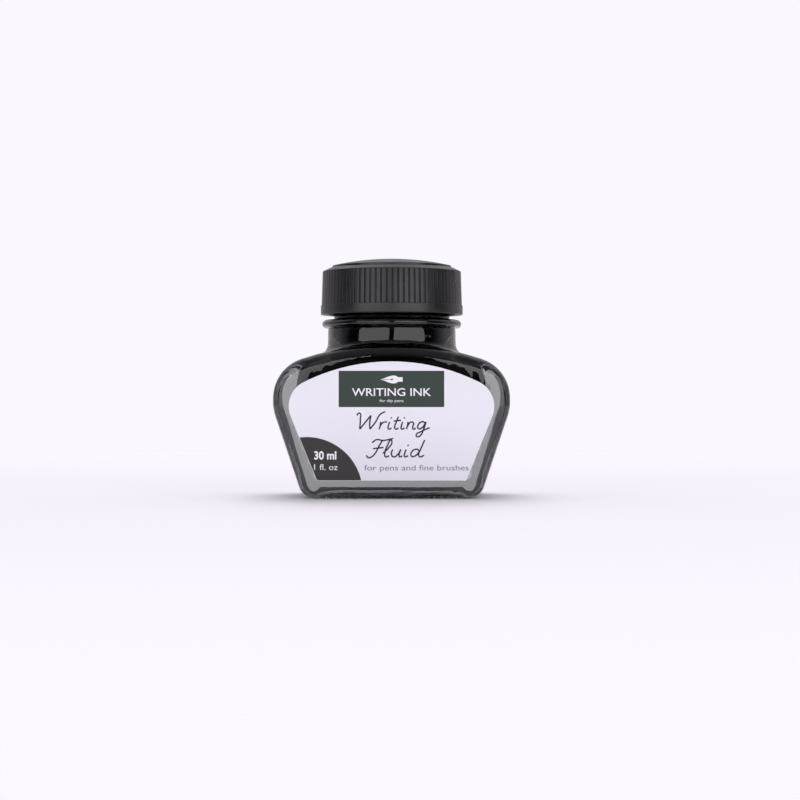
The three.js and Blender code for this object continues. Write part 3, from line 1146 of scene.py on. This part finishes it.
@dataclass
class Label:
    """A die-cut paper label with its printing: panel, quarter disc, script and small text."""

    side: Side
    glass_face: float = 18.0
    thickness: float = 0.16
    ink_film: float = 0.012
    arch: float = 46.0
    corner: float = 6.3
    foot: float = 0.5
    base_half: float = 17.5
    low: Vector = field(init=False)
    high: Vector = field(init=False)

    def __post_init__(self) -> None:
        """Reads the label's box from the CAD model."""
        self.low, self.high = box_mm("front_label" if self.side is Side.FRONT else "back_label")

    @property
    def surface(self) -> float:
        """The distance of the paper's printed face from the middle plane."""
        return self.glass_face - GLUE_OVERLAP + self.thickness

    def outline(self, margin: float = 0.0) -> FlaskOutline:
        """The label's cut outline, moved in by a margin."""
        return FlaskOutline(
            self.high.x - margin,
            self.base_half - margin,
            self.low.z + margin,
            self.high.z - margin,
            self.arch - margin,
            self.corner - margin,
            0.0,
            self.corner - margin,
            self.foot,
        )

    def name(self, what: str) -> str:
        """A piece's name with the label's side in it."""
        return f"{self.side.name.lower()}_{what}"

    def turn(self, piece: bpy.types.Object) -> bpy.types.Object:
        """Turns a piece made for the front to this label's side."""
        piece.rotation_euler = (0, 0, 0 if self.side is Side.FRONT else math.pi)
        return Bench.settle(piece)

    def paper(self, material: bpy.types.Material) -> bpy.types.Object:
        """The paper, glued flat to the glass."""
        back = -(self.glass_face - GLUE_OVERLAP)
        sheet = Bench.slab(self.name("label_paper"), self.outline().points(3.0), -self.surface, back, 0.03, 2)
        self.turn(sheet)
        node = self.name("label")
        return Bench.finish(sheet, Body.BOTTLE, "label_paper", [material], node)

    def patch(
        self, what: str, outline: Profile, material: bpy.types.Material, layer: int = 1
    ) -> bpy.types.Object:
        """A printed area with its own outline, as a thin film on the paper.

        Args:
            what: The piece's name, after the side.
            outline: The area's outline, across and up.
            material: The printing ink.
            layer: How many films deep it lies over the paper.

        Returns:
            The film.
        """
        near = -(self.surface + self.ink_film * layer)
        film = Bench.slab(self.name(what), outline, near, near + self.ink_film * 1.5)
        self.turn(film)
        return Bench.finish(film, Body.BOTTLE, "label_paper", [material])

    def words(
        self,
        what: str,
        body: str,
        place: tuple[float, float],
        width: float,
        height: float,
        material: bpy.types.Material,
        layer: int = 1,
        weight: float = 0.0,
    ) -> bpy.types.Object:
        """Sets a line of type.

        Args:
            what: The piece's name, after the side.
            body: The words.
            place: The middle of the line, across and up.
            width: The line's width.
            height: The line's height.
            material: The printing ink.
            layer: How many films deep it lies over the paper.
            weight: How much the strokes are thickened.

        Returns:
            The line of type as a film.
        """
        Bench.clear()
        bpy.ops.object.text_add(location=(0, 0, 0))
        text = bpy.context.object
        text.name = self.name(what)
        text.data.body = body
        text.data.align_x = "CENTER"
        text.data.align_y = "CENTER"
        text.data.size = 1.0
        text.data.resolution_u = 4
        text.data.offset = weight
        text.data.extrude = 0.1
        bpy.ops.object.convert(target="MESH")
        text = bpy.context.object
        low = Vector((min(v.co[i] for v in text.data.vertices) for i in range(3)))
        high = Vector((max(v.co[i] for v in text.data.vertices) for i in range(3)))
        middle = (low + high) / 2
        bpy.ops.object.mode_set(mode="EDIT")
        bpy.ops.mesh.select_all(action="SELECT")
        bpy.ops.transform.translate(value=-middle)
        size = (width * MM / (high.x - low.x), height * MM / (high.y - low.y), self.ink_film * MM / 0.2)
        bpy.ops.transform.resize(value=size, center_override=(0, 0, 0))
        bpy.ops.object.mode_set(mode="OBJECT")
        depth = -(self.surface + self.ink_film * (layer - 0.5))
        text.rotation_euler = (math.pi / 2, 0, 0)
        text.location = (place[0] * MM, depth * MM, place[1] * MM)
        Bench.settle(text)
        self.turn(text)
        return Bench.finish(text, Body.BOTTLE, "label_paper", [material])


@dataclass
class Handwriting:
    """Joined-up pen lettering: each letter is a few strokes in units of the height of a small letter."""

    slant: float = 0.22
    nib: float = 0.4

    LETTERS: ClassVar[dict[str, tuple[float, list[Profile]]]] = {
        "W": (2.6, [[(-0.1, 1.8), (0.15, 2.1), (0.4, 1.3), (0.62, 0)], [(0.63, 0), (1.05, 0.95), (1.42, 1.8)],
                    [(1.42, 1.8), (1.5, 0.9), (1.7, 0)], [(1.71, 0), (2.1, 0.9), (2.4, 1.95), (2.85, 2.3)]]),
        "F": (1.35, [[(0.95, 2.1), (0.8, 1.4), (0.65, 0.5), (0.4, 0), (0.1, -0.1), (-0.15, 0.2)],
                     [(0.05, 1.8), (0.4, 2.2), (1.0, 2.1), (1.9, 2.35)], [(0.3, 1.05), (1.25, 1.2)]]),
        "r": (0.9, [[(0.05, 0.95), (0.12, 0.5), (0.1, 0)], [(0.11, 0.4), (0.35, 0.88), (0.75, 0.95)]]),
        "i": (0.62, [[(0.12, 0.95), (0.1, 0.4), (0.2, 0.02), (0.5, 0.14)], [(0.14, 1.42), (0.24, 1.52)]]),
        "t": (0.78, [[(0.28, 1.65), (0.22, 0.9), (0.2, 0.2), (0.36, 0), (0.62, 0.14)],
                     [(-0.1, 1.05), (0.68, 1.16)]]),
        "n": (1.16, [[(0.06, 0.95), (0.12, 0.5), (0.1, 0)],
                     [(0.11, 0.35), (0.42, 0.93), (0.7, 0.8), (0.72, 0.3), (0.85, 0), (1.08, 0.14)]]),
        "g": (1.3, [[(0.8, 0.78), (0.48, 0.98), (0.1, 0.62), (0.2, 0.08), (0.55, 0.14), (0.82, 0.85)],
                    [(0.84, 0.95), (0.8, 0), (0.62, -0.85), (0.3, -1.0), (0.16, -0.75), (0.55, -0.35),
                     (1.4, 0.2)]]),
        "l": (0.74, [[(0.02, 0.45), (0.4, 1.15), (0.55, 1.85), (0.4, 2.15), (0.24, 1.6), (0.2, 0.4),
                      (0.36, 0), (0.66, 0.14)]]),
        "u": (1.22, [[(0.08, 0.95), (0.08, 0.35), (0.36, 0), (0.7, 0.3), (0.84, 0.95)],
                     [(0.85, 0.95), (0.82, 0.3), (0.94, 0), (1.16, 0.14)]]),
        "d": (1.3, [[(0.8, 0.78), (0.48, 0.98), (0.1, 0.62), (0.2, 0.08), (0.55, 0.14), (0.82, 0.75)],
                    [(0.98, 2.15), (0.86, 1.0), (0.84, 0.2), (1.0, 0), (1.35, 0.2)]]),
    }

    def strokes(self, word: str) -> list[Profile]:
        """The strokes of a whole word, slanted, from its first letter's left foot."""
        placed: list[Profile] = []
        reach = 0.0
        for letter in word:
            advance, strokes = self.LETTERS[letter]
            placed += [[(reach + x + self.slant * y, y) for x, y in stroke] for stroke in strokes]
            reach += advance
        return placed

    def write(
        self, name: str, word: str, box: tuple[float, float, float, float], depth: float
    ) -> bpy.types.Object:
        """Writes a word with a round nib into a box on a label.

        Args:
            name: The new object's name.
            word: The word, in letters that the hand knows.
            box: The left, right, lowest and highest place of the word.
            depth: The Y of the writing.

        Returns:
            The word as a flat mesh.
        """
        strokes = self.strokes(word)
        xs = [x for stroke in strokes for x, _ in stroke]
        ys = [y for stroke in strokes for _, y in stroke]
        left, right, low, high = box
        wide = (right - left) / (max(xs) - min(xs))
        tall = (high - low) / (max(ys) - min(ys))
        Bench.clear()
        data = bpy.data.curves.new(name, "CURVE")
        data.dimensions = "3D"
        data.bevel_depth = self.nib / 2 * MM
        data.bevel_resolution = 1
        data.resolution_u = 5
        data.use_fill_caps = True
        for stroke in strokes:
            spline = data.splines.new("BEZIER")
            spline.bezier_points.add(len(stroke) - 1)
            for point, (x, y) in zip(spline.bezier_points, stroke):
                point.co = ((left + (x - min(xs)) * wide) * MM, 0, (low + (y - min(ys)) * tall) * MM)
                point.handle_left_type = "AUTO"
                point.handle_right_type = "AUTO"
        writing = bpy.data.objects.new(name, data)
        bpy.context.scene.collection.objects.link(writing)
        Bench.activate(writing)
        bpy.ops.object.convert(target="MESH")
        writing = bpy.context.object
        bpy.ops.object.mode_set(mode="EDIT")
        bpy.ops.mesh.select_all(action="SELECT")
        bpy.ops.transform.resize(value=(1, 0.06, 1), center_override=(0, 0, 0))
        bpy.ops.transform.translate(value=(0, depth * MM, 0))
        return Bench.close(writing)


@dataclass
class Printer:
    """Prints the two labels."""

    panel_left: float = -12.36
    panel_right: float = 12.33
    panel_low: float = 21.54
    panel_high: float = 30.03
    disc_centre: tuple[float, float] = (-19.84, 1.44)
    disc_radius: float = 13.1

    @staticmethod
    def rectangle(left: float, right: float, low: float, high: float) -> Profile:
        """The four corners of an upright rectangle."""
        return [(left, low), (right, low), (right, high), (left, high)]

    @staticmethod
    def nib(middle: tuple[float, float], length: float) -> Profile:
        """The outline of a dip-pen nib that points to the left."""
        half = [(-0.5, 0), (-0.33, 0.05), (-0.15, 0.13), (0.05, 0.18), (0.2, 0.17), (0.3, 0.1), (0.5, 0.1)]
        lower = [(x, -y) for x, y in reversed(half[1:])]
        return [(middle[0] + x * length, middle[1] + y * length) for x, y in half + lower]

    def disc(self, label: Label, ink: bpy.types.Material) -> None:
        """The dark disc in the lower left corner, cut off by the label's outline."""
        near = -(label.surface + label.ink_film)
        outline = label.outline(0.06).points(6)
        film = Bench.slab(label.name("print_disc"), outline, near, near + label.ink_film * 1.5)
        x, z = self.disc_centre
        Bench.clear()
        bpy.ops.mesh.primitive_cylinder_add(
            vertices=128,
            radius=self.disc_radius * MM,
            depth=4 * MM,
            location=(x * MM, near * MM, z * MM),
            rotation=(math.pi / 2, 0, 0),
        )
        tool = Bench.settle(bpy.context.object)
        Bench.combine(film, tool, "INTERSECT")
        label.turn(film)
        Bench.finish(film, Body.BOTTLE, "label_paper", [ink])

    def front(self, label: Label) -> None:
        """Prints the front: panel with nib and title, disc with the volume, handwriting and a small line."""
        green = GREEN_PRINT.build()
        charcoal = CHARCOAL_PRINT.build()
        white = WHITE_PRINT.build()
        grey = GREY_PRINT.build()
        pen_black = SCRIPT_PRINT.build()
        panel = self.rectangle(self.panel_left, self.panel_right, self.panel_low, self.panel_high)
        label.patch("print_panel", panel, green)
        label.patch("print_nib", self.nib((0, 28.0), 5.2), white, 2)
        label.patch("print_nib_slit", self.rectangle(-2.2, -0.2, 27.95, 28.05), green, 3)
        label.patch("print_nib_hole", arc((0.1, 28.0), 0.22, 0, 345, 15), green, 3)
        label.words("print_title", "WRITING INK", (0, 25.05), 18.5, 1.85, white, 2, 0.008)
        label.words("print_subtitle", "for dip pens", (0, 22.95), 5.6, 0.85, white, 2)
        self.disc(label, charcoal)
        label.words("print_volume", "30 ml", (-15.5, 10.25), 5.2, 2.0, white, 2, 0.03)
        label.words("print_volume_ounces", "1 fl. oz", (-15.35, 7.5), 5.5, 1.4, white, 2)
        label.words("print_small_line", "for pens and fine brushes", (5.85, 7.15), 24.4, 1.7, grey)
        hand = Handwriting()
        depth = -(label.surface + label.ink_film)
        upper = hand.write(label.name("print_script_upper"), "Writing", (-8.14, 8.94, 14.6, 20.49), depth)
        lower = hand.write(label.name("print_script_lower"), "Fluid", (-5.92, 7.77, 9.72, 14.2), depth)
        for script in (upper, lower):
            label.turn(script)
            Bench.finish(script, Body.BOTTLE, "label_paper", [pen_black])

    def back(self, label: Label) -> None:
        """Prints the back: a small panel, a title and a few plain lines on use."""
        green = GREEN_PRINT.build()
        white = WHITE_PRINT.build()
        grey = GREY_PRINT.build()
        label.patch("print_panel", self.rectangle(-12.36, 12.33, 24.6, 29.6), green)
        label.words("print_title", "WRITING INK", (0, 27.1), 18.5, 1.85, white, 2, 0.008)
        lines = ("Close the cap after use.", "Store upright, away from frost.", "Rinse pens with water.")
        for i, line in enumerate(lines):
            label.words(f"print_line_{i + 1}", line, (0, 20.4 - 3.0 * i), 0.78 * len(line), 1.6, grey)
        label.words("print_volume", "30 ml   1 fl. oz", (0, 8.4), 13.5, 1.7, grey, 1, 0.01)


@dataclass
class Studio:
    """The plain pale studio: floor, soft light and camera. Its lengths are in metres."""

    distance: float = 0.5
    height: float = 0.0232
    aside: float = 0.00199
    field_width: float = 0.19416
    sensor: float = 36.0
    pale: str = "#fbf7ff"
    floor_pale: str = "#f7f4fa"
    room: float = 0.04
    backdrop: float = 0.6
    ceiling: float = 0.35
    softbox_power: float = 3.4
    softbox_azimuth: float = 32.0
    softbox_distance: float = 0.75
    softbox_size: tuple[float, float] = (0.8, 0.7)
    right_share: float = 1.1
    back_power: float = 12.0
    floor_radius: float = 1.2
    floor_fade: tuple[float, float] = (0.15, 0.45)

    def camera(self) -> None:
        """Places the camera level in front of the label."""
        data = bpy.data.cameras.new("camera")
        data.sensor_width = self.sensor
        data.lens = self.sensor * self.distance / self.field_width
        data.clip_start = 0.01
        camera = bpy.data.objects.new("camera", data)
        bpy.context.scene.collection.objects.link(camera)
        camera.location = (self.aside, -self.distance, self.height)
        camera.rotation_euler = (math.pi / 2, 0, 0)
        bpy.context.scene.camera = camera

    def softbox(
        self,
        name: str,
        azimuth: float,
        elevation: float,
        distance: float,
        size: tuple[float, float],
        power: float,
    ) -> bpy.types.Object:
        """Adds a rectangular softbox that faces the bottle.

        Args:
            name: The light's name.
            azimuth: Its direction round the bottle, in degrees from the camera's, positive to the right.
            elevation: Its height, in degrees.
            distance: Its distance from the bottle in metres.
            size: Its width and height in metres.
            power: Its power in watts.

        Returns:
            The light.
        """
        data = bpy.data.lights.new(name, "AREA")
        data.shape = "RECTANGLE"
        data.size, data.size_y = size
        data.energy = power
        data.color = (1.0, 0.985, 1.0)
        light = bpy.data.objects.new(name, data)
        bpy.context.scene.collection.objects.link(light)
        across = math.radians(azimuth)
        up = math.radians(elevation)
        direction = Vector((math.sin(across) * math.cos(up), -math.cos(across) * math.cos(up), math.sin(up)))
        light.location = direction * distance + Vector((0, 0, 0.03))
        light.rotation_euler = direction.to_track_quat("Z", "Y").to_euler()
        light.visible_camera = False
        light.visible_transmission = False
        return light

    def world(self) -> None:
        """Surrounds the bottle with pale light, dimmer on the side that the camera stands on."""
        world = bpy.data.worlds.new("studio")
        bpy.context.scene.world = world
        world.use_nodes = True
        tree = world.node_tree
        tree.nodes.clear()
        output = add_node(tree, "ShaderNodeOutputWorld")
        place = add_node(tree, "ShaderNodeTexCoord")
        parts = add_node(tree, "ShaderNodeSeparateXYZ", {}, {"Vector": place.outputs["Generated"]})
        behind = add_node(
            tree,
            "ShaderNodeMapRange",
            {"From Min": -0.15, "From Max": 0.35, "To Min": self.room, "To Max": self.backdrop},
            {"Value": parts.outputs["Y"]},
        )
        above = add_node(
            tree,
            "ShaderNodeMapRange",
            {"From Min": 0.2, "From Max": 0.7, "To Min": 0.0, "To Max": self.ceiling},
            {"Value": parts.outputs["Z"]},
        )
        glow = add_node(tree, "ShaderNodeMath", {"operation": "ADD"})
        tree.links.new(behind.outputs["Result"], glow.inputs[0])
        tree.links.new(above.outputs["Result"], glow.inputs[1])
        lit = add_node(
            tree, "ShaderNodeBackground", {"Color": linear(self.pale)}, {"Strength": glow.outputs["Value"]}
        )
        seen = add_node(tree, "ShaderNodeBackground", {"Color": linear(self.pale), "Strength": 1.0})
        rays = add_node(tree, "ShaderNodeLightPath")
        both = add_node(tree, "ShaderNodeMixShader", {}, {"Fac": rays.outputs["Is Camera Ray"]})
        tree.links.new(lit.outputs["Background"], both.inputs[1])
        tree.links.new(seen.outputs["Background"], both.inputs[2])
        tree.links.new(both.outputs["Shader"], output.inputs["Surface"])

    def floor(self) -> None:
        """Lays a pale round floor that fades into the surroundings."""
        Bench.clear()
        bpy.ops.mesh.primitive_circle_add(vertices=96, radius=self.floor_radius, fill_type="NGON")
        floor = bpy.context.object
        floor.name = "floor"
        material, tree, output = new_material("paper_sweep_pale")
        place = add_node(tree, "ShaderNodeTexCoord")
        reach = add_node(tree, "ShaderNodeVectorMath", {"operation": "LENGTH"})
        tree.links.new(place.outputs["Object"], reach.inputs[0])
        near, far = self.floor_fade
        shrinking = {"From Min": near, "From Max": far, "To Min": 1.0, "To Max": 0.0}
        fade = add_node(
            tree,
            "ShaderNodeMapRange",
            {**shrinking, "interpolation_type": "SMOOTHSTEP"},
            {"Value": reach.outputs["Value"]},
        )
        paper = add_node(
            tree,
            "ShaderNodeBsdfPrincipled",
            {"Base Color": linear(self.floor_pale), "Roughness": 0.9, "Specular IOR Level": 0.2},
        )
        clear = add_node(tree, "ShaderNodeBsdfTransparent")
        both = add_node(tree, "ShaderNodeMixShader", {}, {"Fac": fade.outputs["Result"]})
        tree.links.new(clear.outputs["BSDF"], both.inputs[1])
        tree.links.new(paper.outputs["BSDF"], both.inputs[2])
        tree.links.new(both.outputs["Shader"], output.inputs["Surface"])
        floor.data.materials.append(material)

    def build(self) -> None:
        """Makes the floor, the lights and the camera."""
        self.floor()
        self.world()
        for name, side, share in (("softbox_left", -1, 1.0), ("softbox_right", 1, self.right_share)):
            azimuth = side * self.softbox_azimuth
            power = self.softbox_power * share
            self.softbox(name, azimuth, 0, self.softbox_distance, self.softbox_size, power)
        overhead = self.softbox("softbox_behind", 180, 52, 1.5, (1.0, 1.0), self.back_power)
        overhead.visible_glossy = False
        self.camera()
        bpy.context.scene.view_settings.view_transform = "Standard"


def main() -> None:
    """Builds the bottle, its contents, cap and labels, and then the studio."""
    logging.basicConfig(level=logging.INFO, format="%(message)s")
    bottle = GlassBottle()
    bottle.build(GLASS.build())
    InkFill(bottle).build(WETTED_INK.build(), FREE_INK.build())
    ScrewCap().build(CAP_PLASTIC.build(), bottle)
    CapLiner().build(LINER_FOAM.build())
    paper = LABEL_PAPER.build()
    for side in Side:
        label = Label(side)
        label.paper(paper)
        if side is Side.FRONT:
            Printer().front(label)
        else:
            Printer().back(label)
    Studio().build()


if __name__ == "__main__":
    main()
